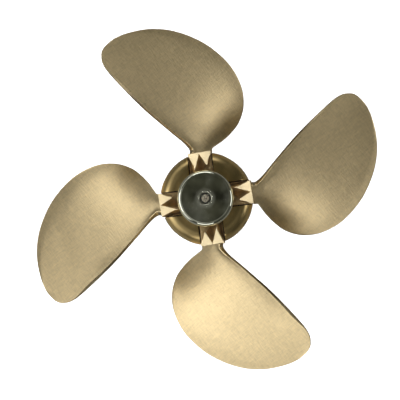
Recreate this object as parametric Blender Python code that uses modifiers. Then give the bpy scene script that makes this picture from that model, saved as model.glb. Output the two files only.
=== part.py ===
"""Four-bladed folding ship propeller, 18 inch, seen in use from dead astern.

The shaft axis is +Z and points aft. The origin is the centre of the hub's flat forward face.
Each blade is built on the +Y axis and turned into place, so x is clockwise seen from astern,
y is the distance out from the shaft axis and z is the height aft of the forward face.
Sizes are in millimetres and are turned into metres when a mesh is made.
"""
import math

import bmesh
import bpy
from mathutils import Matrix, Vector

MM = 0.001
GAP = 0.3

# Driving sizes
TIP_RADIUS = 228.5
BLADE_COUNT = 4
PIN_RADIUS_POSITION = 44.0
PIN_Z = 100.0
HUB_RADIUS = 58.0
HUB_NOSE_RADIUS = 42.0
SHOULDER_RADIUS = 12.0
RING_DROP = 3.0
RING_TOP = PIN_Z + 21.0
BOSS_RADIUS = 33.0
BOSS_TOP = PIN_Z + 35.7
SLOT_HALF_WIDTH = 15.7
SLOT_FLOOR = PIN_Z - 38.0
SLOT_DEEP_OUT = 47.0
STOP_GAP = 0.5
CAVITY_RADIUS = 21.0

# Shaft end, nut and lock plug
TAPER_BIG_RADIUS = 17.5
TAPER_LENGTH = 46.0
TAPER_SMALL_RADIUS = TAPER_BIG_RADIUS - TAPER_LENGTH / 20.0
KEY_HALF_WIDTH = 5.0
KEY_DEPTH = 3.5
POCKET_RADIUS = 24.5
WASHER_THICKNESS = 1.5
NUT_ACROSS_FLATS = 40.0
NUT_HEIGHT = 13.0
SHAFT_THREAD_RADIUS = 12.0
PLUG_BOTTOM = 61.4
PLUG_TOP = 68.0
POST_RADIUS = 5.6

# Blade root
ROOT_HALF_WIDTH = 14.4
ROOT_OUT = 58.0
LAND_HEIGHT = 30.0
EYE_RADIUS = 14.0
BLOCK_SECTOR_RADIUS = 28.5
TOOTH_SECTOR_RADIUS = 33.0
TOOTH_HALF_WIDTH = 9.8
SECTOR_END = 190.0
LAND_SLANT = 2.4

# Pins, bushes and plugs
PIN_SHANK_RADIUS = 6.5
BUSH_OUTER_RADIUS = 8.7
BUSH_HALF_LENGTH = 14.0
EYE_BORE_RADIUS = 9.0
PIN_BLIND_END = 27.5
PIN_OPEN_END = 23.7
PIN_PLUG_RADIUS = 7.2
PLUG_FACE_RADIUS = 56.5
PLUG_SOCKET_RADIUS = 3.2
PLUG_SOCKET_FLOOR = 3.5

# End cap and its screw
CAP_RADIUS = 34.0
CAP_BOTTOM = PIN_Z + 36.0
CAP_THICKNESS = 11.0
CAP_EDGE = 3.2
COUNTERBORE_RADIUS = 7.4
COUNTERBORE_DEPTH = 4.5
SPIGOT_RADIUS = 20.7
SPIGOT_DEPTH = 3.0
SCREW_HEAD_HEIGHT = 3.4
SCREW_HEAD_RADIUS = 4.6
SCREW_SHANK_RADIUS = 2.5
SCREW_SOCKET_RADIUS = 2.3
SCREW_LENGTH = 22.0

# Blade outline as radius from the shaft axis and angle from the root axis, root to tip
TRAILING_EDGE = [
    (53, -11), (60, -12.9), (67, -12.9), (78, -16.0), (94, -20.6), (112, -24.6), (135, -27.9),
    (158, -29.4), (180, -30.3), (198, -30.6), (210, -30.4), (219, -29.6), (225, -28.4), (227.7, -25.0),
]
LEADING_EDGE = [
    (53, 11), (60, 12.5), (68, 16.0), (77, 22.0), (90, 26.8), (107, 29.6), (128, 27.9),
    (150, 23.0), (172, 16.0), (191, 7.8), (205, 1.2), (216, -5.0), (223.5, -10.5), (227.4, -15.4),
]
TIP_POINT = (TIP_RADIUS, -20.3)
TIP_CLOSE = 0.8

# Thickness at root, mid-blade and tip
THICKNESS = [(53, 9.0), (62, 13.5), (75, 12.5), (100, 10.5), (150, 7.6), (200, 5.0), (TIP_RADIUS, 2.4)]
TRAILING_THICKNESS = [(53, 7.0), (62, 9.0), (75, 6.5), (100, 5.4), (150, 4.8), (200, 3.6),
                      (TIP_RADIUS, 2.0)]
LEADING_THICKNESS = [(53, 7.0), (62, 8.0), (75, 4.0), (100, 2.8), (150, 2.4), (200, 2.0),
                     (TIP_RADIUS, 1.8)]

# Advance of the blade surface for each radian, and its rake forward of the pin plane
ADVANCE = [(53, 50.0), (75, 66.0), (120, 70.0), (TIP_RADIUS, 70.0)]
RAKE = [(53, 0.0), (75, -3.0), (140, -3.0), (TIP_RADIUS, 2.0)]
CAMBER = [(53, 0.0), (90, 2.5), (150, 3.5), (TIP_RADIUS, 1.0)]

BRONZE = ("blade_bronze", (0.62, 0.50, 0.28), 0.42, 1.0)
HUB_BRONZE = ("hub_bronze", (0.50, 0.38, 0.20), 0.28, 1.0)
STEEL = ("polished_steel", (0.72, 0.73, 0.70), 0.08, 1.0)
PIN_STEEL = ("pin_steel", (0.55, 0.55, 0.54), 0.3, 1.0)
BUSH_POLYMER = ("bush_polymer", (0.06, 0.06, 0.06), 0.6, 0.0)


def at(table, radius):
    """Value of a table of (radius, value) rows at a radius, on straight lines between the rows."""
    for (r0, v0), (r1, v1) in zip(table, table[1:]):
        if radius <= r1:
            return v0 + (v1 - v0) * max(0.0, radius - r0) / (r1 - r0)
    return table[-1][1]


def clear_scene():
    for obj in list(bpy.data.objects):
        bpy.data.objects.remove(obj, do_unlink=True)


def collection(name):
    made = bpy.data.collections.new(name)
    bpy.context.scene.collection.children.link(made)
    return made


def material(spec):
    name, colour, roughness, metallic = spec
    made = bpy.data.materials.get(name) or bpy.data.materials.new(name)
    made.use_nodes = True
    shader = made.node_tree.nodes["Principled BSDF"]
    shader.inputs["Base Color"].default_value = (*colour, 1.0)
    shader.inputs["Roughness"].default_value = roughness
    shader.inputs["Metallic"].default_value = metallic
    return made


def object_from_bmesh(name, bm, group, spec=None):
    mesh = bpy.data.meshes.new(name)
    bm.to_mesh(mesh)
    bm.free()
    obj = bpy.data.objects.new(name, mesh)
    group.objects.link(obj)
    if spec:
        mesh.materials.append(material(spec))
    return obj


def as_cutter(obj):
    obj.hide_render = True
    obj.display_type = "WIRE"
    return obj


def boolean(obj, other, operation):
    mod = obj.modifiers.new(other.name, "BOOLEAN")
    mod.operation = operation
    mod.object = other
    mod.solver = "EXACT"
    return mod


def hull(name, points, group):
    """Convex solid through a few corner points in millimetres."""
    bm = bmesh.new()
    for p in points:
        bm.verts.new(Vector(p) * MM)
    bmesh.ops.convex_hull(bm, input=bm.verts)
    bmesh.ops.recalc_face_normals(bm, faces=bm.faces)
    return object_from_bmesh(name, bm, group)


def prism(name, outline, low, high, group):
    """Upright convex prism over a plan outline of (x, y) corners."""
    return hull(name, [(x, y, z) for x, y in outline for z in (low, high)], group)


def cylinder(name, radius, start, end, axis, group, spec=None, segments=32):
    """Closed cylinder from start to end along X or Z, about the given axis point."""
    bm = bmesh.new()
    along, centre = axis
    bmesh.ops.create_cone(bm, cap_ends=True, segments=segments, radius1=radius * MM,
                          radius2=radius * MM, depth=(end - start) * MM)
    place = Matrix.Translation((0, 0, (start + end) / 2 * MM))
    if along == "X":
        place = Matrix.Rotation(math.radians(90), 4, "Y") @ place
    place = Matrix.Translation(Vector(centre) * MM) @ place
    bmesh.ops.transform(bm, matrix=place, verts=bm.verts)
    return object_from_bmesh(name, bm, group, spec)


def turned(name, profile, group, spec=None, steps=64):
    """Closed solid turned about Z from a profile of (radius, z), outer side listed top to bottom."""
    bm = bmesh.new()
    verts = [bm.verts.new((r * MM, 0, z * MM)) for r, z in profile]
    hollow = profile[0][0] > 0
    for a, b in zip(verts, verts[1:] + verts[:hollow]):
        bm.edges.new((a, b))
    obj = object_from_bmesh(name, bm, group, spec)
    mod = obj.modifiers.new("turn", "SCREW")
    mod.axis = "Z"
    mod.steps = steps
    mod.render_steps = steps
    mod.use_merge_vertices = True
    mod.merge_threshold = 0.00001
    return obj


def arc(centre, radius, start, end, count):
    """Points of an arc from start to end degrees, both ends included."""
    return [(centre[0] + radius * math.cos(math.radians(start + (end - start) * i / count)),
             centre[1] + radius * math.sin(math.radians(start + (end - start) * i / count)))
            for i in range(count + 1)]


def side_plate(name, outline, half_width, group):
    """Plate of a (y, z) outline, extruded to both sides in x."""
    curve = bpy.data.curves.new(name, "CURVE")
    curve.dimensions = "2D"
    curve.fill_mode = "BOTH"
    curve.extrude = half_width * MM
    spline = curve.splines.new("POLY")
    spline.points.add(len(outline) - 1)
    spline.use_cyclic_u = True
    for point, (y, z) in zip(spline.points, outline):
        point.co = (y * MM, z * MM, 0, 1)
    flat = bpy.data.objects.new(name + "_curve", curve)
    group.objects.link(flat)
    bpy.context.view_layer.update()
    graph = bpy.context.evaluated_depsgraph_get()
    mesh = bpy.data.meshes.new_from_object(flat.evaluated_get(graph))
    bpy.data.objects.remove(flat, do_unlink=True)
    bm = bmesh.new()
    bm.from_mesh(mesh)
    bpy.data.meshes.remove(mesh)
    bmesh.ops.remove_doubles(bm, verts=bm.verts, dist=0.00001)
    stand = Matrix(((0, 0, 1, 0), (1, 0, 0, 0), (0, 1, 0, 0), (0, 0, 0, 1)))
    bmesh.ops.transform(bm, matrix=stand, verts=bm.verts)
    bmesh.ops.recalc_face_normals(bm, faces=bm.faces)
    return object_from_bmesh(name, bm, group)


def smooth_path(points, per_span):
    """Catmull-Rom curve through the points, with per_span steps between two of them."""
    path = []
    for i in range(len(points) - 1):
        p0 = Vector(points[max(i - 1, 0)])
        p1 = Vector(points[i])
        p2 = Vector(points[i + 1])
        p3 = Vector(points[min(i + 2, len(points) - 1)])
        for k in range(per_span):
            t = k / per_span
            path.append(0.5 * (2 * p1 + (p2 - p0) * t + (2 * p0 - 5 * p1 + 4 * p2 - p3) * t ** 2
                               + (3 * p1 - p0 - 3 * p2 + p3) * t ** 3))
    path.append(Vector(points[-1]))
    return path


def polar(radius, degrees):
    """Plan position, with the angle clockwise from the root axis."""
    return Vector((radius * math.sin(math.radians(degrees)), radius * math.cos(math.radians(degrees))))


def section(trail, lead, samples):
    """One ring of the blade between a trailing and a leading edge point given in plan."""
    ring_aft = []
    ring_forward = []
    for k in range(samples + 1):
        u = (1 - math.cos(math.pi * k / samples)) / 2
        flat = trail.lerp(lead, u)
        radius = flat.length
        angle = math.atan2(flat.x, flat.y)
        advance = at(ADVANCE, radius)
        bow = at(CAMBER, radius) * 4 * u * (1 - u)
        z = PIN_Z + at(RAKE, radius) - advance * angle - bow
        slope = math.atan2(advance, radius)
        across = Vector((flat.y, -flat.x)).normalized()
        normal = Vector((across.x * math.sin(slope), across.y * math.sin(slope), math.cos(slope)))
        belly = at(THICKNESS, radius) * math.sin(math.pi * u)
        edges = at(TRAILING_THICKNESS, radius) * (1 - u) + at(LEADING_THICKNESS, radius) * u
        end = min(1.0, 4 * min(u, 1 - u) + 0.45)
        half = max(belly, edges) * 0.5 * end
        middle = Vector((flat.x, flat.y, z))
        ring_aft.append(middle + normal * half)
        ring_forward.append(middle - normal * half)
    return ring_aft + ring_forward[::-1]


def blade_loft(name, group, per_span=2, samples=12):
    """Blade from inside its root block to the tip, lofted between airfoil sections."""
    trail = smooth_path([polar(*p) for p in TRAILING_EDGE], per_span)
    lead = smooth_path([polar(*p) for p in LEADING_EDGE], per_span)
    tip = polar(*TIP_POINT)
    trail.append(trail[-1].lerp(tip, TIP_CLOSE))
    lead.append(lead[-1].lerp(tip, TIP_CLOSE))
    bm = bmesh.new()
    rings = [[bm.verts.new(p * MM) for p in section(a, b, samples)] for a, b in zip(trail, lead)]
    for one, two in zip(rings, rings[1:]):
        for i in range(len(one)):
            j = (i + 1) % len(one)
            bm.faces.new((one[i], one[j], two[j], two[i]))
    bm.faces.new(rings[0][::-1])
    bm.faces.new(rings[-1])
    bmesh.ops.recalc_face_normals(bm, faces=bm.faces)
    return object_from_bmesh(name, bm, group)


def root_block(group):
    """Hinge eye, stop face and flat-topped block of a blade root, as a side outline."""
    centre = (PIN_RADIUS_POSITION, PIN_Z)
    outline = [(ROOT_OUT, PIN_Z - EYE_RADIUS), (ROOT_OUT, PIN_Z + LAND_HEIGHT)]
    outline += [(PIN_RADIUS_POSITION - 5.0, PIN_Z + LAND_HEIGHT)]
    outline += arc(centre, BLOCK_SECTOR_RADIUS, 105, SECTOR_END, 9)
    outline += arc(centre, EYE_RADIUS, SECTOR_END, 270, 5)
    return side_plate("root_block", outline, ROOT_HALF_WIDTH, group)


def tooth_sector(group):
    """Narrower toothed sector that reaches in under the cap."""
    centre = (PIN_RADIUS_POSITION, PIN_Z)
    start = 90 + math.degrees(math.acos(LAND_HEIGHT / TOOTH_SECTOR_RADIUS))
    outline = [(ROOT_OUT - 10, PIN_Z), (ROOT_OUT - 10, PIN_Z + LAND_HEIGHT)]
    outline += arc(centre, TOOTH_SECTOR_RADIUS, start, SECTOR_END, 9)
    outline += arc(centre, EYE_RADIUS - 1, SECTOR_END, SECTOR_END, 1)[:1]
    return side_plate("tooth_sector", outline, TOOTH_HALF_WIDTH, group)


def root_cutters(group):
    """Tooth gap in the middle of the land, the relief on both sides, and the slanted outer end."""
    land = PIN_Z + LAND_HEIGHT
    above = land + 12
    floor = PIN_Z + EYE_RADIUS
    groove = hull("tooth_gap", [
        (0, 56.5, land), (-13.7, 20, land), (18.5, 20, land), (0, 20, land - 26),
        (0, 56.5, above), (-13.7, 20, above), (18.5, 20, above),
    ], group)
    left = hull("left_relief", [
        (-14.2, 56, above), (-7.8, 36, above), (-4.0, 8, above), (-20, 8, above), (-20, 56, above),
        (-14.2, 56, land), (-7.8, 36, land), (-4.0, 8, land),
        (-15.2, 56, PIN_Z + 6), (-14.2, 36, PIN_Z + 6), (-12, 8, PIN_Z + 6),
        (-20, 8, PIN_Z + 6), (-20, 56, PIN_Z + 6),
    ], group)
    right = hull("right_relief", [
        (14.3, 58.2, above), (7.1, 42.9, above), (22, 42.9, above), (22, 58.2, above),
        (15.0, 58.2, floor), (10.5, 42.9, floor), (22, 42.9, floor), (22, 58.2, floor),
    ], group)
    corner = prism("corner_relief", [(7.1, 42.9), (-4, 31.8), (-4, 5), (22, 5), (22, 42.9)],
                   floor, above, group)
    slant = prism("outer_slant", [(-20, ROOT_OUT - LAND_SLANT), (16, ROOT_OUT + 0.2), (16, 70), (-20, 70)],
                  PIN_Z + EYE_RADIUS, above, group)
    return [groove, left, right, corner, slant]


def make_blades(group, cutters, axis_empties):
    """Four like blades, each one casting with its root, hung on its pin axis."""
    block = root_block(cutters)
    sector = tooth_sector(cutters)
    bore = cylinder("eye_bore", EYE_BORE_RADIUS, -20, 20, ("X", (0, PIN_RADIUS_POSITION, PIN_Z)), cutters)
    reliefs = root_cutters(cutters)
    pattern = blade_loft("blade_pattern", group)
    boolean(pattern, block, "UNION")
    boolean(pattern, sector, "UNION")
    for cutter in reliefs + [bore]:
        boolean(pattern, cutter, "DIFFERENCE")
    for cutter in [block, sector, bore] + reliefs:
        as_cutter(cutter)
    bpy.context.view_layer.update()
    graph = bpy.context.evaluated_depsgraph_get()
    mesh = bpy.data.meshes.new_from_object(pattern.evaluated_get(graph))
    mesh.name = "blade"
    mesh.materials.clear()
    mesh.materials.append(material(BRONZE))
    bpy.data.objects.remove(pattern, do_unlink=True)
    mesh.transform(Matrix.Translation((0, -PIN_RADIUS_POSITION * MM, -PIN_Z * MM)))
    mesh.shade_smooth()
    mesh.set_sharp_from_angle(angle=math.radians(35))
    for number, empty in enumerate(axis_empties, 1):
        blade = bpy.data.objects.new(f"blade_{number}", mesh)
        group.objects.link(blade)
        blade.parent = empty


def pin_axes(group):
    """An empty on each hinge axis, with x along the pin and y out from the shaft axis."""
    empties = []
    for number in range(BLADE_COUNT):
        turn = Matrix.Rotation(math.radians(-360 / BLADE_COUNT * number), 4, "Z")
        empty = bpy.data.objects.new(f"hinge_axis_{number + 1}", None)
        empty.empty_display_size = 0.02
        empty.matrix_world = turn @ Matrix.Translation((0, PIN_RADIUS_POSITION * MM, PIN_Z * MM))
        group.objects.link(empty)
        empties.append(empty)
    return empties


def plug_trim(name, group):
    """Block that trims a plug's outer end level with the hub's side."""
    lean = math.atan2(math.sqrt(HUB_RADIUS ** 2 - PIN_RADIUS_POSITION ** 2), PIN_RADIUS_POSITION)
    out = Vector((math.sin(lean), math.cos(lean)))
    along = Vector((out.y, -out.x))
    foot = out * PLUG_FACE_RADIUS - Vector((0, PIN_RADIUS_POSITION))
    corners = [foot + along * side * HUB_RADIUS / 2 + out * reach
               for side, reach in ((-1, 0), (1, 0), (1, HUB_RADIUS / 2), (-1, HUB_RADIUS / 2))]
    return prism(name, corners, -PIN_PLUG_RADIUS - 5, PIN_PLUG_RADIUS + 5, group)


def make_pins(group, cutters, axis_empties):
    """Hinge pin, bush and flush screw plug of each blade, along x on its hinge axis."""
    axis = ("X", (0, 0, 0))
    for number, empty in enumerate(axis_empties, 1):
        pin = cylinder(f"hinge_pin_{number}", PIN_SHANK_RADIUS, -PIN_BLIND_END, PIN_OPEN_END,
                       axis, group, PIN_STEEL)
        bush = cylinder(f"pin_bush_{number}", BUSH_OUTER_RADIUS, -BUSH_HALF_LENGTH, BUSH_HALF_LENGTH,
                        axis, group, BUSH_POLYMER)
        plug = cylinder(f"pin_plug_{number}", PIN_PLUG_RADIUS, PIN_OPEN_END + GAP, HUB_RADIUS,
                        axis, group, HUB_BRONZE)
        bore = cylinder(f"bush_bore_{number}", PIN_SHANK_RADIUS + GAP,
                        -ROOT_HALF_WIDTH - 5, ROOT_HALF_WIDTH + 5, axis, cutters)
        socket = cylinder(f"plug_socket_{number}", PLUG_SOCKET_RADIUS, PIN_OPEN_END + PLUG_SOCKET_FLOOR,
                          HUB_RADIUS + 5, axis, cutters, segments=6)
        trim = plug_trim(f"plug_trim_{number}", cutters)
        boolean(bush, bore, "DIFFERENCE")
        boolean(plug, trim, "DIFFERENCE")
        boolean(plug, socket, "DIFFERENCE")
        for piece in (pin, bush, plug, bore, socket, trim):
            piece.parent = empty
        for cutter in (bore, socket, trim):
            as_cutter(cutter)


def slot_cutters(group):
    """Deep slots for the root sectors and shallower ones out to the rim, along X and along Y."""
    made = []
    for name, half_width, reach, low in (
        ("slot_deep", SLOT_HALF_WIDTH, SLOT_DEEP_OUT, SLOT_FLOOR),
        ("slot_mouth", SLOT_HALF_WIDTH, HUB_RADIUS + 10, PIN_Z - EYE_RADIUS - STOP_GAP),
    ):
        for along, (x, y) in (("y", (half_width, reach)), ("x", (reach, half_width))):
            corners = [(-x, -y), (x, -y), (x, y), (-x, y)]
            made.append(prism(f"{name}_{along}", corners, low, BOSS_TOP + 10, group))
    return made


def pin_bore_cutters(group, axis_empties):
    """Pin bore, blind at one end and opened out for the screw plug at the other."""
    made = []
    for number, empty in enumerate(axis_empties, 1):
        for name, radius, start in (
            ("pin_bore", PIN_SHANK_RADIUS + GAP, -PIN_BLIND_END - GAP),
            ("plug_bore", PIN_PLUG_RADIUS + GAP, PIN_OPEN_END),
        ):
            bore = cylinder(f"{name}_{number}", radius, start, HUB_RADIUS, ("X", (0, 0, 0)), group)
            bore.parent = empty
            made.append(bore)
    return made


def make_hub(group, cutters, axis_empties):
    """Hub turned from one casting, with blade slots, pin bores, shaft taper, nut pocket and keyway."""
    shoulder = (HUB_RADIUS - SHOULDER_RADIUS, RING_TOP - RING_DROP - SHOULDER_RADIUS)
    profile = [(CAVITY_RADIUS, BOSS_TOP), (BOSS_RADIUS, BOSS_TOP), (BOSS_RADIUS, RING_TOP)]
    profile += arc(shoulder, SHOULDER_RADIUS, 90, 0, 6)
    profile += [(HUB_RADIUS, PIN_Z - 26), (HUB_RADIUS - 2.5, PIN_Z - 45), (HUB_RADIUS - 7.0, PIN_Z - 65),
                (HUB_NOSE_RADIUS + 1.5, 5.0), (HUB_NOSE_RADIUS, 0.0)]
    profile += [(TAPER_BIG_RADIUS, 0.0), (TAPER_SMALL_RADIUS, TAPER_LENGTH), (POCKET_RADIUS, TAPER_LENGTH),
                (POCKET_RADIUS, PLUG_TOP + GAP), (CAVITY_RADIUS, PLUG_TOP + GAP)]
    hub = turned("hub", profile, group, HUB_BRONZE, steps=64)
    keyway = prism("keyway", [(-KEY_HALF_WIDTH, 0), (KEY_HALF_WIDTH, 0),
                              (KEY_HALF_WIDTH, TAPER_BIG_RADIUS + KEY_DEPTH),
                              (-KEY_HALF_WIDTH, TAPER_BIG_RADIUS + KEY_DEPTH)],
                   -5.0, TAPER_LENGTH + 2.0, cutters)
    for cutter in slot_cutters(cutters) + pin_bore_cutters(cutters, axis_empties) + [keyway]:
        boolean(hub, as_cutter(cutter), "DIFFERENCE")


def make_shaft_fittings(group, cutters):
    """Tab washer and nut on the shaft end, and the plug that locks them and carries the cap."""
    seat = TAPER_LENGTH + GAP
    washer_top = seat + WASHER_THICKNESS
    washer_inner = SHAFT_THREAD_RADIUS + GAP
    washer_outer = NUT_ACROSS_FLATS / 2 + 1.5
    washer_profile = [(washer_inner, washer_top), (washer_outer, washer_top),
                      (washer_outer, seat), (washer_inner, seat)]
    turned("tab_washer", washer_profile, group, STEEL, steps=48)
    nut_bottom = washer_top + GAP
    nut = cylinder("shaft_nut", NUT_ACROSS_FLATS / 2 / math.cos(math.radians(30)), nut_bottom,
                   nut_bottom + NUT_HEIGHT, ("Z", (0, 0, 0)), group, HUB_BRONZE, segments=6)
    bore = cylinder("nut_bore", SHAFT_THREAD_RADIUS, nut_bottom - 1, nut_bottom + NUT_HEIGHT + 1,
                    ("Z", (0, 0, 0)), cutters, segments=48)
    boolean(nut, as_cutter(bore), "DIFFERENCE")
    post_top = CAP_BOTTOM - SPIGOT_DEPTH - GAP
    hole = SCREW_SHANK_RADIUS + GAP
    hole_bottom = CAP_BOTTOM + CAP_THICKNESS - COUNTERBORE_DEPTH - SCREW_LENGTH - 3
    plug_profile = [(0, hole_bottom), (hole, hole_bottom), (hole, post_top), (POST_RADIUS, post_top),
                    (POST_RADIUS, PLUG_TOP + 3), (POST_RADIUS + 3, PLUG_TOP),
                    (POCKET_RADIUS - GAP, PLUG_TOP), (POCKET_RADIUS - GAP, PLUG_BOTTOM), (0, PLUG_BOTTOM)]
    turned("lock_plug", plug_profile, group, HUB_BRONZE, steps=48)


def make_cap(group, cutters):
    """Polished end cap with a rounded rim, and the recessed screw that holds it."""
    top = CAP_BOTTOM + CAP_THICKNESS
    hole = SCREW_SHANK_RADIUS + 2 * GAP
    floor = top - COUNTERBORE_DEPTH
    profile = [(COUNTERBORE_RADIUS, top)]
    profile += arc((CAP_RADIUS - CAP_EDGE, top - CAP_EDGE), CAP_EDGE, 90, 0, 5)
    profile += [(CAP_RADIUS, CAP_BOTTOM + 1.0), (CAP_RADIUS - 1.0, CAP_BOTTOM)]
    profile += [(SPIGOT_RADIUS, CAP_BOTTOM), (SPIGOT_RADIUS, CAP_BOTTOM - SPIGOT_DEPTH),
                (hole, CAP_BOTTOM - SPIGOT_DEPTH), (hole, floor), (COUNTERBORE_RADIUS, floor)]
    turned("end_cap", profile, group, STEEL, steps=72)
    head_top = floor + GAP + SCREW_HEAD_HEIGHT
    shank_end = floor - SCREW_LENGTH
    screw_profile = [(0, head_top), (SCREW_HEAD_RADIUS - 0.5, head_top), (SCREW_HEAD_RADIUS, head_top - 0.5),
                     (SCREW_HEAD_RADIUS, floor + GAP), (SCREW_SHANK_RADIUS, floor + GAP),
                     (SCREW_SHANK_RADIUS, shank_end), (0, shank_end)]
    screw = turned("cap_screw", screw_profile, group, HUB_BRONZE, steps=32)
    socket = cylinder("screw_socket", SCREW_SOCKET_RADIUS, head_top - 2.0, head_top + 1, ("Z", (0, 0, 0)),
                      cutters, segments=6)
    boolean(screw, as_cutter(socket), "DIFFERENCE")


def build():
    clear_scene()
    parts = collection("folding_propeller")
    cutters = collection("cutters")
    axes = pin_axes(parts)
    make_hub(parts, cutters, axes)
    make_blades(parts, cutters, axes)
    make_pins(parts, cutters, axes)
    make_shaft_fittings(parts, cutters)
    make_cap(parts, cutters)


build()
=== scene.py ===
"""Finished look of a four-bladed folding ship propeller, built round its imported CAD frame.

The shaft axis is +Z and points aft. Tables and plain numbers for shapes are in millimetres and are
turned into metres when a mesh is made. A blade is made on the +Y axis, so x is clockwise seen from
astern, y is the distance out from the shaft and z is the height aft of the hub's forward face.
"""
import math

import bmesh
import bpy
import numpy as np
from bpy.props import FloatProperty, FloatVectorProperty, IntProperty, PointerProperty
from mathutils import Matrix, Vector


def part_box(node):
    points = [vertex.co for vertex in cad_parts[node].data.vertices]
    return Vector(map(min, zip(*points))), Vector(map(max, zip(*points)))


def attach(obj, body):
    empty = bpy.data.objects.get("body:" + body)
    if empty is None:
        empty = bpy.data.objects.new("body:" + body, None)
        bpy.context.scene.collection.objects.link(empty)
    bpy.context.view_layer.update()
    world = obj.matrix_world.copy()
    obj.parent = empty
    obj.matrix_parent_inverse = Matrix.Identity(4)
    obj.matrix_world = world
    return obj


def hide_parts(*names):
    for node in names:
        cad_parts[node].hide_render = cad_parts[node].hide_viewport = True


bl_info = {
    "name": "Folding propeller",
    "version": (1, 0, 0),
    "blender": (4, 5, 0),
    "location": "View3D > Sidebar > Propeller",
    "description": "Finished blades, hub, cap and fittings of a folding propeller, with a studio stage",
    "category": "Object",
}

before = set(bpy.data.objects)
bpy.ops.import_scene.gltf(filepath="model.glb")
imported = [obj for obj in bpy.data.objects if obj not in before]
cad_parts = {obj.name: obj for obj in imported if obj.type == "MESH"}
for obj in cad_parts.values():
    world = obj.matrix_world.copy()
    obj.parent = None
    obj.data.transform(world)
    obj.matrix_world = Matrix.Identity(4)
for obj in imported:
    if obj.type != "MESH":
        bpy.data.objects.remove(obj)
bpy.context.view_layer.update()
MM = 0.001
BLADE_COUNT = 4

HUB_LOW, HUB_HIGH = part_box("hub")
CAP_LOW, CAP_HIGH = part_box("end_cap")
PIN_LOW, PIN_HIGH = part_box("hinge_pin_1")
NUT_LOW, NUT_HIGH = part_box("shaft_nut")
PLUG_LOW, PLUG_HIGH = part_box("lock_plug")
SCREW_LOW, SCREW_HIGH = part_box("cap_screw")
WASHER_LOW, WASHER_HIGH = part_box("tab_washer")

# Places that the frame gives, in millimetres
PIN_Z = round((PIN_LOW.z + PIN_HIGH.z) / 2 / MM, 2)
PIN_Y = round((PIN_LOW.y + PIN_HIGH.y) / 2 / MM, 2)
HUB_RADIUS = round(HUB_HIGH.x / MM, 2)
CAP_RADIUS = round(CAP_HIGH.x / MM, 2)
CAP_TOP = round(CAP_HIGH.z / MM, 2)

# Blade outline as radius from the shaft axis and angle from the root axis, root to tip
TRAILING_EDGE = [
    (53, -13.0), (60, -13.8), (64.2, -12.5), (70, -13.6), (78, -16.2), (94, -21.1), (112, -24.8), (135, -27.85),
    (158, -29.5), (180, -30.4), (198, -30.8), (210, -30.5), (218, -29.5), (223.8, -28.1), (227.5, -25.6),
]
LEADING_EDGE = [
    (53, 11), (60, 12.3), (64.4, 12.1), (69.5, 16.3), (77, 21.5), (90, 26.4), (107, 29.0), (128, 27.9),
    (150, 23.6), (172, 16.7), (191, 8.6), (205, 1.5), (216.2, -5.2), (223.5, -11.3), (227.5, -17.0),
]
TIP_RADIUS = 229.2
TIP_POINT = (TIP_RADIUS, -22.0)

# Thickness and form of the blade by radius
THICKNESS = [(53, 9.0), (62, 10.5), (75, 11.2), (100, 9.8), (150, 7.0), (200, 4.8), (TIP_RADIUS, 2.6)]
TRAILING_THICKNESS = [(53, 7.0), (62, 9.0), (75, 6.5), (100, 5.4), (150, 4.8), (200, 3.6), (TIP_RADIUS, 2.0)]
LEADING_THICKNESS = [(53, 7.0), (62, 8.0), (75, 4.0), (100, 2.8), (150, 2.4), (200, 2.0), (TIP_RADIUS, 1.8)]
ADVANCE = [(53, 60.0), (75, 69.0), (110, 69.0), (150, 71.0), (190, 69.5), (TIP_RADIUS, 66.0)]
RAKE = [(53, -2.6), (75, -3.6), (100, -4.0), (130, -3.7), (160, -3.7), (195, -1.0), (TIP_RADIUS, 1.8)]
CAMBER = [(53, 0.0), (62, 2.4), (75, 3.1), (100, 2.7), (130, 2.7), (160, 2.4), (195, 2.6), (TIP_RADIUS, 1.2)]
# How far the deepest camber sits towards the leading edge, as a height in millimetres
CAMBER_LEAN = [(53, 0.0), (75, -0.7), (120, -0.9), (160, -0.8), (200, 0.0), (TIP_RADIUS, 0.0)]
# Width in plan of the slanted face on the trailing edge, and how far its inner corner is rounded
TRAILING_FACE = [(53, 4.8), (63, 4.8), (70, 3.9), (80, 2.8), (95, 2.3), (118, 2.8), (134, 3.1), (160, 3.5), (178, 3.7), (192, 2.6),
                 (203, 0.9), (TIP_RADIUS, 0.4)]
TRAILING_CORNER = [(53, 2.6), (80, 2.2), (100, 1.1), (TIP_RADIUS, 0.6)]
# How far handling has burnished that corner, from 0 to 1
EDGE_POLISH = [(53, 1.0), (95, 1.0), (120, 0.5), (TIP_RADIUS, 0.4)]
# Painted shade on that face, standing in for dark reflections, from 0 for bright to 1 for dark brown
EDGE_PAINTED_SHADE = [(53, 0.4), (95, 0.5), (120, 0.95), (145, 0.9), (165, 0.55), (190, 0.45), (204, 0.1),
              (TIP_RADIUS, 0.0)]

# Blade root
ROOT_HALF_WIDTH = 14.4
ROOT_OUT = 58.0
LAND_HEIGHT = 30.0
EYE_RADIUS = 14.0
EYE_BORE_RADIUS = 9.0
BLOCK_SECTOR_RADIUS = 28.5
TOOTH_SECTOR_RADIUS = 33.0
TOOTH_HALF_WIDTH = 9.8
SECTOR_END = 190.0
TOOTH_END = 189.5
LAND_SLANT = 1.5
# The roots and their slots sit a little anticlockwise of the root axis
ROOT_SHIFT = -1.75

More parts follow.
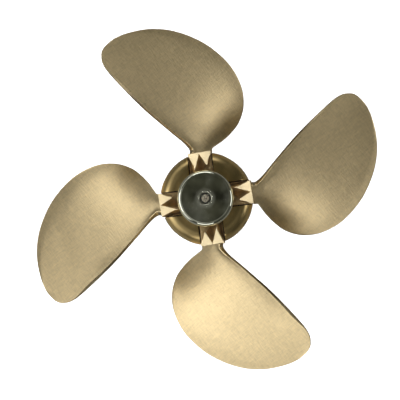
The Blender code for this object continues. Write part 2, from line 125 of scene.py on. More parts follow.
# Hub
HUB_NOSE_RADIUS = 42.0
SHOULDER_RADIUS = 16.0
RING_DROP = 3.0
RING_TOP = PIN_Z + 21.0
RING_FALL = 0.4
BOSS_RADIUS = 33.0
BOSS_TOP = PIN_Z + 35.7
SLOT_HALF_WIDTH = 15.8
SLOT_FLOOR = PIN_Z - 38.0
SLOT_DEEP_OUT = 47.0
STOP_GAP = 0.5
CAVITY_RADIUS = 21.0
TAPER_BIG_RADIUS = 17.5
TAPER_LENGTH = 46.0
TAPER_SMALL_RADIUS = TAPER_BIG_RADIUS - TAPER_LENGTH / 20.0
KEY_HALF_WIDTH = 5.0
KEY_DEPTH = 3.5
POCKET_RADIUS = 24.5
POCKET_TOP = 68.3

# Pins and plugs
PIN_RADIUS = 6.5
BUSH_RADIUS = 8.7
BUSH_HALF_LENGTH = 14.0
PIN_BLIND_END = 27.5
PIN_OPEN_END = 23.7
PIN_PLUG_RADIUS = 7.2
PLUG_SOCKET_RADIUS = 3.2
FIT_GAP = 0.3


class BladeSettings(bpy.types.PropertyGroup):
    edge_round: FloatProperty(
        name="Root edge round", description="Radius of the broken edges on a blade root",
        default=0.0006, min=0.0001, max=0.002, unit="LENGTH")
    span_steps: IntProperty(
        name="Span steps", description="Steps between two rows of the outline tables", default=7, min=2, max=12)
    chord_steps: IntProperty(
        name="Chord steps", description="Steps across a blade between its rounded edges", default=40, min=8, max=80)
    colour: FloatVectorProperty(
        name="Blade bronze", description="Colour of the cross-brushed bronze", subtype="COLOR",
        size=3, default=(0.81, 0.645, 0.37), min=0, max=1)
    machined_colour: FloatVectorProperty(
        name="Root bronze", description="Colour of the machined root faces", subtype="COLOR",
        size=3, default=(0.85, 0.70, 0.43), min=0, max=1)
    # Bronze darkened as painted shade for the root faces that are not lands
    relief_painted_shade_colour: FloatVectorProperty(
        name="Relief painted shade bronze", description="Colour of the milled slopes and walls of the roots", subtype="COLOR",
        size=3, default=(0.66, 0.48, 0.25), min=0, max=1)


class HubSettings(bpy.types.PropertyGroup):
    edge_round: FloatProperty(
        name="Slot edge round", description="Radius of the broken edges round the slots",
        default=0.0005, min=0.0001, max=0.002, unit="LENGTH")
    segments: IntProperty(
        name="Turning steps", description="Steps round the turned hub", default=180, min=32, max=360)
    colour: FloatVectorProperty(
        name="Hub bronze", description="Colour of the polished hub", subtype="COLOR",
        size=3, default=(0.82, 0.612, 0.272), min=0, max=1)
    # Bronze darkened as painted shade inside the blade slots
    slot_painted_shade_colour: FloatVectorProperty(
        name="Slot painted shade bronze", description="Colour of the slot walls", subtype="COLOR",
        size=3, default=(0.42, 0.27, 0.12), min=0, max=1)


class CapSettings(bpy.types.PropertyGroup):
    rim_round: FloatProperty(
        name="Rim round", description="Radius of the cap's rounded rim",
        default=0.0058, min=0.001, max=0.008, unit="LENGTH")
    crown: FloatProperty(
        name="Crown", description="How far the middle of the cap's face stands proud",
        default=0.0006, min=0, max=0.002, unit="LENGTH")
    segments: IntProperty(
        name="Turning steps", description="Steps round the turned cap", default=192, min=32, max=360)
    colour: FloatVectorProperty(
        name="Steel", description="Colour of the polished steel", subtype="COLOR",
        size=3, default=(0.87, 0.88, 0.72), min=0, max=1)


class StageSettings(bpy.types.PropertyGroup):
    distance: FloatProperty(
        name="Camera distance", description="Distance from the camera to the blades",
        default=2.0, min=0.5, max=10, unit="LENGTH")
    roll: FloatProperty(
        name="Roll", description="Turn of the propeller in the picture",
        default=math.radians(6.96), unit="ROTATION")
    width: FloatProperty(
        name="Picture width", description="Width that the picture covers at the blades",
        default=0.5017, min=0.1, max=5, unit="LENGTH")


def at(table, radius):
    """Value of a table at a radius, on a smooth curve through its rows that doesn't overshoot."""
    xs = np.array([row[0] for row in table], float)
    ys = np.array([row[1] for row in table], float)
    radius = min(max(radius, xs[0]), xs[-1])
    steps = np.diff(ys) / np.diff(xs)
    slopes = np.concatenate([[steps[0]], (steps[:-1] + steps[1:]) / 2, [steps[-1]]])
    for i, (before, after) in enumerate(zip(steps[:-1], steps[1:]), 1):
        if before * after <= 0:
            slopes[i] = 0
        else:
            slopes[i] = 2 * before * after / (before + after)
    k = int(min(np.searchsorted(xs, radius, side="right") - 1, len(xs) - 2))
    span = xs[k + 1] - xs[k]
    t = (radius - xs[k]) / span
    return ((2 * t ** 3 - 3 * t ** 2 + 1) * ys[k] + (t ** 3 - 2 * t ** 2 + t) * span * slopes[k]
            + (3 * t ** 2 - 2 * t ** 3) * ys[k + 1] + (t ** 3 - t ** 2) * span * slopes[k + 1])


def polar(radius, degrees):
    """Plan position, with the angle clockwise from the root axis."""
    return Vector((radius * math.sin(math.radians(degrees)), radius * math.cos(math.radians(degrees))))


def smooth_path(points, per_span):
    """Catmull-Rom curve through the points, with per_span steps between two of them."""
    path = []
    for i in range(len(points) - 1):
        p0 = Vector(points[max(i - 1, 0)])
        p1 = Vector(points[i])
        p2 = Vector(points[i + 1])
        p3 = Vector(points[min(i + 2, len(points) - 1)])
        for k in range(per_span):
            t = k / per_span
            path.append(0.5 * (2 * p1 + (p2 - p0) * t + (2 * p0 - 5 * p1 + 4 * p2 - p3) * t ** 2
                               + (3 * p1 - p0 - 3 * p2 + p3) * t ** 3))
    path.append(Vector(points[-1]))
    return path


def arc(centre, radius, start, end, count):
    """Points of an arc from start to end degrees, both ends included."""
    return [(centre[0] + radius * math.cos(math.radians(start + (end - start) * i / count)),
             centre[1] + radius * math.sin(math.radians(start + (end - start) * i / count)))
            for i in range(count + 1)]


def new_object(name, bm):
    """Object at the origin from a bmesh in metres."""
    mesh = bpy.data.meshes.new(name)
    bm.to_mesh(mesh)
    bm.free()
    obj = bpy.data.objects.new(name, mesh)
    bpy.context.scene.collection.objects.link(obj)
    return obj


def baked(obj, name):
    """Plain mesh object with all modifiers of obj applied. The source object is removed."""
    bpy.context.view_layer.update()
    graph = bpy.context.evaluated_depsgraph_get()
    mesh = bpy.data.meshes.new_from_object(obj.evaluated_get(graph))
    mesh.name = name
    made = bpy.data.objects.new(name, mesh)
    bpy.context.scene.collection.objects.link(made)
    remove(obj)
    return made


def remove(*objects):
    for obj in objects:
        mesh = obj.data
        bpy.data.objects.remove(obj, do_unlink=True)
        if mesh.users == 0:
            bpy.data.meshes.remove(mesh)


def boolean(obj, other, operation):
    mod = obj.modifiers.new(other.name, "BOOLEAN")
    mod.operation = operation
    mod.object = other
    mod.solver = "EXACT"


def merge_close(obj, distance, flat_angle=None):
    """Merges points that lie closer than a distance, and joins faces that meet flatter than an angle."""
    bm = bmesh.new()
    bm.from_mesh(obj.data)
    bmesh.ops.remove_doubles(bm, verts=bm.verts, dist=distance)
    if flat_angle:
        bmesh.ops.dissolve_limit(bm, angle_limit=math.radians(flat_angle), verts=bm.verts, edges=bm.edges)
    bm.to_mesh(obj.data)
    bm.free()


def bevel(obj, width, segments, degrees):
    mod = obj.modifiers.new("broken edges", "BEVEL")
    mod.width = width
    mod.segments = segments
    mod.limit_method = "ANGLE"
    mod.angle_limit = math.radians(degrees)
    mod.use_clamp_overlap = True
    mod.miter_outer = "MITER_SHARP"


def smooth(obj, degrees):
    """Smooth shading, with edges past the angle kept sharp."""
    obj.data.shade_smooth()
    obj.data.set_sharp_from_angle(angle=math.radians(degrees))


def hull(name, points):
    """Convex solid through a few corner points in millimetres."""
    bm = bmesh.new()
    for p in points:
        bm.verts.new(Vector(p) * MM)
    bmesh.ops.convex_hull(bm, input=bm.verts)
    bmesh.ops.dissolve_limit(bm, angle_limit=math.radians(0.5), verts=bm.verts, edges=bm.edges)
    bmesh.ops.recalc_face_normals(bm, faces=bm.faces)
    return new_object(name, bm)


def prism(name, outline, low, high):
    """Upright convex prism over a plan outline of (x, y) corners."""
    return hull(name, [(x, y, z) for x, y in outline for z in (low, high)])


def plate(name, outline, half_width):
    """Plate of a (y, z) outline, as wide as half_width to both sides in x."""
    bm = bmesh.new()
    left = [bm.verts.new(Vector((-half_width, y, z)) * MM) for y, z in outline]
    right = [bm.verts.new(Vector((half_width, y, z)) * MM) for y, z in outline]
    bm.faces.new(left[::-1])
    bm.faces.new(right)
    for i in range(len(outline)):
        j = (i + 1) % len(outline)
        bm.faces.new((left[i], left[j], right[j], right[i]))
    bmesh.ops.recalc_face_normals(bm, faces=bm.faces)
    return new_object(name, bm)


def turned(name, profile, segments, closed=True):
    """Solid turned about Z from a profile of (radius, z). A point on the axis becomes a pole."""
    bm = bmesh.new()
    rings = []
    for r, z in profile:
        if r < 1e-6:
            rings.append([bm.verts.new((0, 0, z * MM))])
        else:
            rings.append([bm.verts.new((r * MM * math.cos(2 * math.pi * k / segments),
                                        r * MM * math.sin(2 * math.pi * k / segments), z * MM))
                          for k in range(segments)])
    pairs = list(zip(rings, rings[1:]))
    if closed:
        pairs.append((rings[-1], rings[0]))
    for one, two in pairs:
        for k in range(segments):
            n = (k + 1) % segments
            corners = [one[k % len(one)], one[n % len(one)], two[n % len(two)], two[k % len(two)]]
            corners = list(dict.fromkeys(corners))
            if len(corners) > 2:
                bm.faces.new(corners)
    bmesh.ops.recalc_face_normals(bm, faces=bm.faces)
    return new_object(name, bm)


def lay_along_x(obj, y, z):
    """Stands a piece that was turned about Z along X, on the axis through (y, z)."""
    place = Matrix.Translation((0, y * MM, z * MM)) @ Matrix.Rotation(math.radians(90), 4, "Y")
    obj.data.transform(place)
    return obj


def mark_faces(obj, name, values):
    """Writes a yes or no value on every face, which later picks the finish."""
    if isinstance(values, bool):
        values = [values] * len(obj.data.polygons)
    attribute = obj.data.attributes.get(name) or obj.data.attributes.new(name, "BOOLEAN", "FACE")
    attribute.data.foreach_set("value", values)


def keep_place(obj):
    """Keeps each point's place before it is turned, so that a pattern follows the piece."""
    co = np.zeros(len(obj.data.vertices) * 3, np.float32)
    obj.data.vertices.foreach_get("co", co)
    attribute = obj.data.attributes.new("own_place", "FLOAT_VECTOR", "POINT")
    attribute.data.foreach_set("vector", co)


def around_hub_tree():
    """Geometry Nodes that turn a pattern about the shaft axis and give it its finishes."""
    found = bpy.data.node_groups.get("Around the hub")
    if found:
        return found
    tree = bpy.data.node_groups.new("Around the hub", "GeometryNodeTree")
    face = tree.interface
    face.new_socket("Geometry", in_out="INPUT", socket_type="NodeSocketGeometry")
    face.new_socket("Turn", in_out="INPUT", socket_type="NodeSocketFloat")
    face.new_socket("Main finish", in_out="INPUT", socket_type="NodeSocketMaterial")
    face.new_socket("Machined finish", in_out="INPUT", socket_type="NodeSocketMaterial")
    face.new_socket("Relief painted shade finish", in_out="INPUT", socket_type="NodeSocketMaterial")
    face.new_socket("Geometry", in_out="OUTPUT", socket_type="NodeSocketGeometry")
    nodes = tree.nodes
    links = tree.links
    start = nodes.new("NodeGroupInput")
    end = nodes.new("NodeGroupOutput")
    instance = nodes.new("GeometryNodeGeometryToInstance")
    angle = nodes.new("ShaderNodeCombineXYZ")
    rotate = nodes.new("GeometryNodeRotateInstances")
    realize = nodes.new("GeometryNodeRealizeInstances")
    main = nodes.new("GeometryNodeSetMaterial")
    links.new(start.outputs["Geometry"], instance.inputs[0])
    links.new(start.outputs["Turn"], angle.inputs["Z"])
    links.new(instance.outputs[0], rotate.inputs["Instances"])
    links.new(angle.outputs[0], rotate.inputs["Rotation"])
    rotate.inputs["Local Space"].default_value = False
    links.new(rotate.outputs[0], realize.inputs["Geometry"])
    links.new(realize.outputs[0], main.inputs["Geometry"])
    links.new(start.outputs["Main finish"], main.inputs["Material"])
    last = main
    # Faces marked for relief get the bronze darkened as painted shade
    for attribute, socket in (("machined", "Machined finish"), ("relief_painted_shade", "Relief painted shade finish")):
        picked = nodes.new("GeometryNodeInputNamedAttribute")
        picked.data_type = "BOOLEAN"
        picked.inputs["Name"].default_value = attribute
        chosen = nodes.new("GeometryNodeSetMaterial")
        links.new(last.outputs[0], chosen.inputs["Geometry"])
        links.new(picked.outputs["Attribute"], chosen.inputs["Selection"])
        links.new(start.outputs[socket], chosen.inputs["Material"])
        last = chosen
    links.new(last.outputs[0], end.inputs[0])
    return tree


def put_around(pattern, name, number, main, machined=None, relief_painted_shade=None):
    """Copy of the pattern, turned to the place of blade number, as a plain mesh object."""
    tree = around_hub_tree()
    sockets = {item.name: item.identifier for item in tree.interface.items_tree
               if item.in_out == "INPUT"}
    obj = bpy.data.objects.new(name + "_source", pattern.data.copy())
    bpy.context.scene.collection.objects.link(obj)
    mod = obj.modifiers.new("around the hub", "NODES")
    mod.node_group = tree
    mod[sockets["Turn"]] = -2 * math.pi * (number - 1) / BLADE_COUNT
    mod[sockets["Main finish"]] = main
    mod[sockets["Machined finish"]] = machined or main
    mod[sockets["Relief painted shade finish"]] = relief_painted_shade or main
    made = baked(obj, name)
    tidy_slots(made)
    return made


def tidy_slots(obj):
    """Drops material slots that no face uses."""
    used = sorted({p.material_index for p in obj.data.polygons})
    kept = [obj.data.materials[i] for i in used]
    order = {old: new for new, old in enumerate(used)}
    indices = [order[p.material_index] for p in obj.data.polygons]
    obj.data.materials.clear()
    for one in kept:
        obj.data.materials.append(one)
    obj.data.polygons.foreach_set("material_index", indices)


def finish_piece(obj, material, body, slot, *nodes):
    """Gives a piece its finish and its body, and hides the CAD nodes that it stands for."""
    if material:
        obj.data.materials.clear()
        obj.data.materials.append(material)
    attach(obj, body)
    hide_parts(*nodes)


class Finish:
    """Node-by-node builder of one metal or polymer finish."""

    def __init__(self, name, colour, roughness, metallic=1.0, attribute=None):
        self.material = bpy.data.materials.new(name)
        self.material.use_nodes = True
        self.nodes = self.material.node_tree.nodes
        self.links = self.material.node_tree.links
        self.shader = self.nodes["Principled BSDF"]
        self.shader.inputs["Metallic"].default_value = metallic
        self.shader.inputs["Roughness"].default_value = roughness
        self.shader.inputs["Base Color"].default_value = (*colour, 1)
        self.colour = colour
        if attribute:
            source = self.nodes.new("ShaderNodeAttribute")
            source.attribute_name = attribute
            self.place = source.outputs["Vector"]
        else:
            self.place = self.nodes.new("ShaderNodeTexCoord").outputs["Object"]

    def mapped(self, scale, turn=0.0, shift=(0, 0, 0)):
        """Coordinates turned about Z and then stretched, with scale in cycles for each metre."""
        turned_place = self.nodes.new("ShaderNodeMapping")
        turned_place.inputs["Rotation"].default_value = (0, 0, turn)
        turned_place.inputs["Location"].default_value = shift
        self.links.new(self.place, turned_place.inputs["Vector"])
        stretched = self.nodes.new("ShaderNodeVectorMath")
        stretched.operation = "MULTIPLY"
        stretched.inputs[1].default_value = scale
        self.links.new(turned_place.outputs[0], stretched.inputs[0])
        return stretched.outputs[0]

    def value(self, attribute):
        """Number that the mesh keeps under a name."""
        source = self.nodes.new("ShaderNodeAttribute")
        source.attribute_name = attribute
        return source.outputs["Fac"]

    def noise(self, place, detail=2.0, rough=0.5, scale=1.0, wobble=0.0):
        made = self.nodes.new("ShaderNodeTexNoise")
        made.inputs["Distortion"].default_value = wobble
        made.inputs["Scale"].default_value = scale
        made.inputs["Detail"].default_value = detail
        made.inputs["Roughness"].default_value = rough
        self.links.new(place, made.inputs["Vector"])
        return made.outputs["Fac"]

    def math(self, operation, one, two=None):
        made = self.nodes.new("ShaderNodeMath")
        made.operation = operation
        for socket, value in zip(made.inputs, (one, two)):
            if isinstance(value, (int, float)):
                socket.default_value = value
            elif value is not None:
                self.links.new(value, socket)
        return made.outputs[0]

    def ramp(self, value, low, high, from_low=0.3, from_high=0.7):
        """Value between low and high as the input goes from from_low to from_high."""
        made = self.nodes.new("ShaderNodeMapRange")
        for name, number in (("From Min", from_low), ("From Max", from_high), ("To Min", low), ("To Max", high)):
            made.inputs[name].default_value = number
        self.links.new(value, made.inputs["Value"])
        return made.outputs["Result"]

    def shade(self, value):
        """Multiplies the colour by a value around 1."""
        made = self.nodes.new("ShaderNodeVectorMath")
        made.operation = "SCALE"
        made.inputs[0].default_value = self.colour
        self.links.new(value, made.inputs["Scale"])
        self.links.new(made.outputs[0], self.shader.inputs["Base Color"])

    def rough(self, value):
        self.links.new(value, self.shader.inputs["Roughness"])

    def bump(self, height, distance, strength=1.0):
        made = self.nodes.new("ShaderNodeBump")
        made.inputs["Strength"].default_value = strength
        made.inputs["Distance"].default_value = distance
        self.links.new(height, made.inputs["Height"])
        self.links.new(made.outputs[0], self.shader.inputs["Normal"])


HATCH_TURN = math.radians(-33)


def brushed_bronze(colour):
    """Cross-brushed blade bronze: two sets of fine strokes, along and across the trailing edge, and painted shade on
    the slanted trailing face.
    """
    made = Finish("cross_brushed_bronze", colour, 0.4, attribute="own_place")
    along = made.noise(made.mapped((700, 90, 200), HATCH_TURN), detail=2.0, wobble=0.7)
    across = made.noise(made.mapped((90, 700, 200), HATCH_TURN, (0.3, 0.7, 0)), detail=2.0, wobble=0.7)
    coarse = made.noise(made.mapped((540, 120, 80), HATCH_TURN, (0.1, 0, 0)), detail=1.0, wobble=0.8)
    coarse_across = made.noise(made.mapped((120, 540, 80), HATCH_TURN, (0.6, 0.2, 0)), detail=1.0, wobble=0.8)
    strokes = made.math("ADD", along, across)
    wide = made.math("ADD", coarse, coarse_across)
    height = made.math("ADD", strokes, made.math("MULTIPLY", wide, 1.0))
    cloud = made.noise(made.mapped((14, 14, 14)), detail=3.0)
    tone = made.math("MULTIPLY", made.ramp(height, 0.88, 1.12, 1.5, 2.5), made.ramp(cloud, 0.96, 1.04))
    # Painted shade: the colour of the slanted trailing face falls with its painted shade value
    trailing_face_painted_shade = made.ramp(made.value("edge_painted_shade"), 1.0, 0.25, 0.0, 1.0)
    made.shade(made.math("MULTIPLY", tone, trailing_face_painted_shade))
    brushed = made.math("ADD", made.ramp(cloud, 0.29, 0.35), made.ramp(strokes, -0.02, 0.02, 0.7, 1.3))
    made.rough(made.math("ADD", brushed, made.ramp(made.value("edge_polish"), 0.0, -0.18, 0.0, 1.0)))
    made.bump(height, 0.00012)
    return made.material


def machined_bronze(colour):
    """Pale, freshly milled bronze of the blade roots, with fine milling lines."""
    made = Finish("machined_bronze", colour, 0.5, metallic=0.55, attribute="own_place")
    lines = made.noise(made.mapped((90, 1500, 600), math.radians(20)), detail=1.0)
    cloud = made.noise(made.mapped((60, 60, 60)), detail=3.0)
    made.shade(made.math("MULTIPLY", made.ramp(lines, 0.96, 1.04), made.ramp(cloud, 0.94, 1.05)))
    made.rough(made.ramp(cloud, 0.36, 0.46))
    made.bump(lines, 0.00002)
    return made.material


def relief_bronze_painted_shade(name, colour, attribute=None):
    """Bronze darkened as painted shade, for the milled slopes and walls of the blade roots and of the hub slots."""
    made = Finish(name, colour, 0.35, metallic=0.95, attribute=attribute)
    film = made.noise(made.mapped((120, 120, 90)), detail=3.0)
    made.shade(made.ramp(film, 0.8, 1.1))
    made.rough(made.ramp(film, 0.28, 0.42))
    made.bump(made.noise(made.mapped((500, 500, 1200)), detail=1.0), 0.00001)
    return made.material


def hub_bronze(colour):
    """Polished hub bronze, with faint turning streaks and a thin film of tarnish."""
    made = Finish("polished_hub_bronze", colour, 0.2)
    smear = made.noise(made.mapped((45, 18, 30), math.radians(25)), detail=4.0, rough=0.6)
    fine = made.noise(made.mapped((500, 500, 900)), detail=2.0)
    made.shade(made.math("MULTIPLY", made.ramp(smear, 0.86, 1.08), made.ramp(fine, 0.985, 1.015)))
    made.rough(made.ramp(smear, 0.26, 0.36))
    made.bump(fine, 0.000003)
    return made.material


def cap_steel(colour):
    """Mirror steel of the cap, with handling haze in clouds and round the screw well, and painted shade inside the
    well.
    """
    made = Finish("mirror_steel", colour, 0.03)
    flat = made.nodes.new("ShaderNodeVectorMath")
    flat.operation = "MULTIPLY"
    flat.inputs[1].default_value = (1, 1, 0)
    made.links.new(made.place, flat.inputs[0])
    radius = made.nodes.new("ShaderNodeVectorMath")
    radius.operation = "LENGTH"
    made.links.new(flat.outputs[0], radius.inputs[0])
    radius = radius.outputs["Value"]
    cloud = made.noise(made.mapped((38, 38, 38), 0.0, (0.2, 0.1, 0)), detail=4.0, rough=0.55)
    halo = made.ramp(radius, 1.0, 0.0, 0.0085, 0.0135)
    haze = made.math("ADD", made.ramp(cloud, 0.0, 0.035, 0.45, 0.65), made.math("MULTIPLY", halo, 0.065))
    made.links.new(made.math("SUBTRACT", 1.0, haze), made.shader.inputs["Metallic"])
    # Painted shade: the colour falls to 0.3 inside the screw well
    made.shade(made.ramp(radius, 0.3, 1.0, 0.0072, 0.0078))
    made.rough(made.math("ADD", made.ramp(cloud, 0.03, 0.07), made.math("MULTIPLY", halo, 0.1)))
    return made.material


def polished_steel(name, colour, low, high):
    """Polished steel with a faint handling film."""
    made = Finish(name, colour, low)
    film = made.noise(made.mapped((40, 40, 40)), detail=4.0, rough=0.6)
    made.shade(made.ramp(film, 0.96, 1.02))
    made.rough(made.ramp(film, low, high))
    return made.material


def bush_polymer():
    """Dark filled polymer of the blade bushes."""
    made = Finish("bush_polymer", (0.035, 0.034, 0.032), 0.55, metallic=0.0)
    grain = made.noise(made.mapped((900, 900, 900)), detail=2.0)
    made.shade(made.ramp(grain, 0.8, 1.25))
    made.rough(made.ramp(grain, 0.48, 0.62))
    made.bump(grain, 0.00003)
    return made.material


def bend(start, corner, end, count):
    """Points of a smooth bend from start to end that leans towards the corner."""
    return [start * (1 - t) ** 2 + corner * 2 * t * (1 - t) + end * t ** 2
            for t in (k / count for k in range(count + 1))]


def blade_section(trail, lead, chord_steps, close=1.0):
    """One closed ring of the blade between a trailing and a leading edge point given in plan.

    Returns the ring and how many of its points lie on the slanted trailing face.
    """
    chord = (lead - trail).length
    lead_round = min(at(LEADING_THICKNESS, lead.length) / 2, chord * 0.3)
    trail_half = at(TRAILING_THICKNESS, trail.length) / 2 * close

    def surface(distance, side):
        """Point of the aft face (side 1) or the forward face (side -1) at a distance from the trailing edge."""
        u = distance / chord
        flat = trail.lerp(lead, u)
        radius = flat.length
        angle = math.atan2(flat.x, flat.y)
        advance = at(ADVANCE, radius)
        share = min(max(u, 0.0), 1.0)
        hollow = 4 * share * (1 - share)
        bow = hollow * (at(CAMBER, radius) + at(CAMBER_LEAN, radius) * 1.5 * (2 * share - 1))
        z = PIN_Z + at(RAKE, radius) - advance * angle - bow
        slope = math.atan2(advance, radius)
        across = Vector((flat.y, -flat.x)).normalized()
        normal = Vector((across.x * math.sin(slope), across.y * math.sin(slope), math.cos(slope)))
        belly = at(THICKNESS, radius) / 2 * math.sin(math.pi * share)
        edges = trail_half / close * (1 - share) + lead_round * share
        half = (belly ** 5 + edges ** 5) ** 0.2 * close
        if chord - distance < lead_round:
            half *= math.sqrt(max(0.0, 1 - (1 - (chord - distance) / lead_round) ** 2))
        return Vector((flat.x, flat.y, z)) + normal * (half * side)

    slope = math.atan2(at(ADVANCE, trail.length), trail.length)
    width = min(at(TRAILING_FACE, trail.length) * close, chord * 0.2)
    shift = trail_half * math.sin(slope)
    first = {1: width - shift, -1: shift}
    corner = min(at(TRAILING_CORNER, trail.length) * close, chord * 0.1)
    rows = {}
    for side in (1, -1):
        start = first[side] + corner * math.cos(slope)
        steps = [start + (chord - lead_round - start) * ((1 - math.cos(math.pi * k / chord_steps)) / 4
                                                         + k / chord_steps / 2) for k in range(chord_steps + 1)]
        steps += [chord - lead_round * (1 - math.cos(math.radians(a))) for a in (66, 44, 22, 0)]
        rows[side] = [surface(d, side) for d in steps]
    inner = surface(first[1], 1)
    outer = surface(first[-1], -1)
    depth = (outer - inner).length
    soft = min(corner, depth * 0.45)
    inner_end = inner.lerp(outer, soft / depth)
    outer_end = outer.lerp(inner, min(0.6 * close, depth * 0.3) / depth)
    face = bend(rows[1][0], inner, inner_end, 4)[1:]
    face += [inner_end.lerp(outer_end, 0.5)]
    face += bend(outer_end, outer, surface(first[-1] + 0.6 * close, -1), 3)[:-1]
    rows[-1][0] = surface(first[-1] + 0.6 * close, -1)
    return rows[1] + rows[-1][-2::-1] + face[::-1], len(face)


def blade_surface(settings):
    """The lofted blade, from inside its root block to the tip."""
    steps = settings.span_steps
    outline = smooth_path([polar(*p) for p in LEADING_EDGE + [TIP_POINT] + TRAILING_EDGE[::-1]], steps)
    lead = outline[:len(LEADING_EDGE) * steps]
    trail = outline[:len(LEADING_EDGE) * steps:-1]
    ends = len(lead) - steps
    close = [1.0] * ends + [math.sqrt(1 - (k / steps) ** 3) for k in range(steps)]
    bm = bmesh.new()
    shade = bm.verts.layers.float.new("edge_painted_shade")
    polish = bm.verts.layers.float.new("edge_polish")
    rings = []
    for a, b, c in zip(trail, lead, close):
        points, face_count = blade_section(a, b, settings.chord_steps, c)
        rings.append([bm.verts.new(p * MM) for p in points])
        # Points of the slanted trailing face carry the painted shade value
        for vert in rings[-1][-face_count:-2]:
            vert[shade] = at(EDGE_PAINTED_SHADE, a.length)
        for vert in rings[-1][-4:] + rings[-1][:1]:
            vert[polish] = at(EDGE_POLISH, a.length)
    for one, two in zip(rings, rings[1:]):
        for i in range(len(one)):
            j = (i + 1) % len(one)
            bm.faces.new((one[i], one[j], two[j], two[i]))
    bm.faces.new(rings[0][::-1])
    bm.faces.new(rings[-1])
    bmesh.ops.recalc_face_normals(bm, faces=bm.faces)
    return new_object("blade_surface", bm)


def root_block(settings):
    """Hinge eye, flat lands and tooth gap of a blade root, with its edges broken."""
    centre = (PIN_Y, PIN_Z)
    land = PIN_Z + LAND_HEIGHT
    above = land + 12
    floor = PIN_Z + EYE_RADIUS
    outline = [(ROOT_OUT, PIN_Z - EYE_RADIUS), (ROOT_OUT, land), (PIN_Y - 5.0, land)]
    outline += arc(centre, BLOCK_SECTOR_RADIUS, 105, SECTOR_END, 24)
    outline += arc(centre, EYE_RADIUS, SECTOR_END, 270, 12)
    block = plate("root_block", outline, ROOT_HALF_WIDTH)
    start = 90 + math.degrees(math.acos(LAND_HEIGHT / TOOTH_SECTOR_RADIUS))
    outline = [(ROOT_OUT - 10, PIN_Z), (ROOT_OUT - 10, land)]
    outline += arc(centre, TOOTH_SECTOR_RADIUS, start, TOOTH_END, 24)
    outline += arc(centre, EYE_RADIUS - 1, TOOTH_END, TOOTH_END, 1)[:1]
    sector = plate("tooth_sector", outline, TOOTH_HALF_WIDTH)
    groove = hull("tooth_gap", [
        (0, 56.5, land), (-13.7, 20, land), (18.5, 20, land), (0, 20, land - 26),
        (0, 56.5, above), (-13.7, 20, above), (18.5, 20, above)])
    left = hull("left_relief", [
        (-14.0, 56.2, above), (-8.1, 41.5, above), (-5.5, 8, above), (-20, 8, above), (-20, 56.2, above),
        (-14.0, 56.2, land), (-8.1, 41.5, land), (-5.5, 8, land),
        (-15.2, 56.2, PIN_Z + 10), (-13.2, 41.5, PIN_Z + 10), (-11, 8, PIN_Z + 10),
        (-20, 8, PIN_Z + 10), (-20, 56.2, PIN_Z + 10)])
    right = hull("right_relief", [
        (14.3, 54.4, above), (7.2, 41.5, above), (22, 41.5, above), (22, 54.4, above),
        (15.0, 56.5, floor), (10.5, 41.5, floor), (22, 41.5, floor), (22, 56.5, floor)])
    corner = prism("corner_relief", [(7.2, 41.6), (-4, 30.6), (-4, 5), (22, 5), (22, 41.6)], floor, above)
    slant = prism("outer_slant", [(-20, ROOT_OUT - LAND_SLANT), (16, ROOT_OUT + 0.2), (16, 70), (-20, 70)],
                  floor, above)
    boolean(block, sector, "UNION")
    cutters = [groove, left, right, corner, slant]
    for cutter in cutters:
        boolean(block, cutter, "DIFFERENCE")
    shaped = baked(block, "shaped_root")
    remove(sector, *cutters)
    merge_close(shaped, 0.00002, flat_angle=1.0)
    bevel(shaped, settings.edge_round, 3, 28)
    shaped = baked(shaped, "broken_root")
    shaped.data.transform(Matrix.Translation((ROOT_SHIFT * MM, 0, 0)))
    return shaped


def blade_pattern(settings):
    """One whole blade casting on the +Y axis."""
    surface = blade_surface(settings)
    root = root_block(settings)
    lands = [p.normal.z > 0.6 and p.center.z > (PIN_Z + LAND_HEIGHT - 1) * MM for p in root.data.polygons]
    mark_faces(surface, "machined", False)
    mark_faces(surface, "relief_painted_shade", False)
    mark_faces(root, "machined", lands)
    # Faces that are not lands get the bronze darkened as painted shade
    mark_faces(root, "relief_painted_shade", [not land for land in lands])
    bore = lay_along_x(turned("eye_bore", [(0, -20), (EYE_BORE_RADIUS, -20), (EYE_BORE_RADIUS, 20), (0, 20)],
                              64, closed=False), PIN_Y, PIN_Z)
    mark_faces(bore, "machined", False)
    mark_faces(bore, "relief_painted_shade", True)
    boolean(surface, root, "UNION")
    boolean(surface, bore, "DIFFERENCE")
    pattern = baked(surface, "blade_pattern")
    remove(root, bore)
    merge_close(pattern, 0.00003)
    keep_place(pattern)
    return pattern


class PROPELLER_OT_blades(bpy.types.Operator):
    """Makes the four blades with their hinge roots"""
    bl_idname = "propeller.blades"
    bl_label = "Blades"

    def execute(self, context):
        settings = context.scene.propeller_blades
        brushed = brushed_bronze(settings.colour)
        machined = machined_bronze(settings.machined_colour)
        relief_painted_shade = relief_bronze_painted_shade("relief_bronze_painted_shade", settings.relief_painted_shade_colour, "own_place")
        pattern = blade_pattern(settings)
        for number in range(1, BLADE_COUNT + 1):
            blade = put_around(pattern, f"propeller_blade_{number}", number, brushed, machined, relief_painted_shade)
            smooth(blade, 35)
            finish_piece(blade, None, f"blade_{number}", "blade_bronze", f"blade_{number}")
        remove(pattern)
        return {"FINISHED"}


def slot_cutter(number):
    """Stepped slot of one blade: deep for the root sector, and shallower out to the rim."""
    mouth = PIN_Z - EYE_RADIUS - STOP_GAP
    top = BOSS_TOP + 10
    outline = [(0, SLOT_FLOOR), (SLOT_DEEP_OUT, SLOT_FLOOR), (SLOT_DEEP_OUT, mouth), (HUB_RADIUS + 10, mouth),
               (HUB_RADIUS + 10, top), (0, top)]
    made = plate(f"slot_{number}", outline, SLOT_HALF_WIDTH)
    made.data.transform(Matrix.Translation((ROOT_SHIFT * MM, 0, 0)))
    made.data.transform(Matrix.Rotation(-2 * math.pi * (number - 1) / BLADE_COUNT, 4, "Z"))
    return made


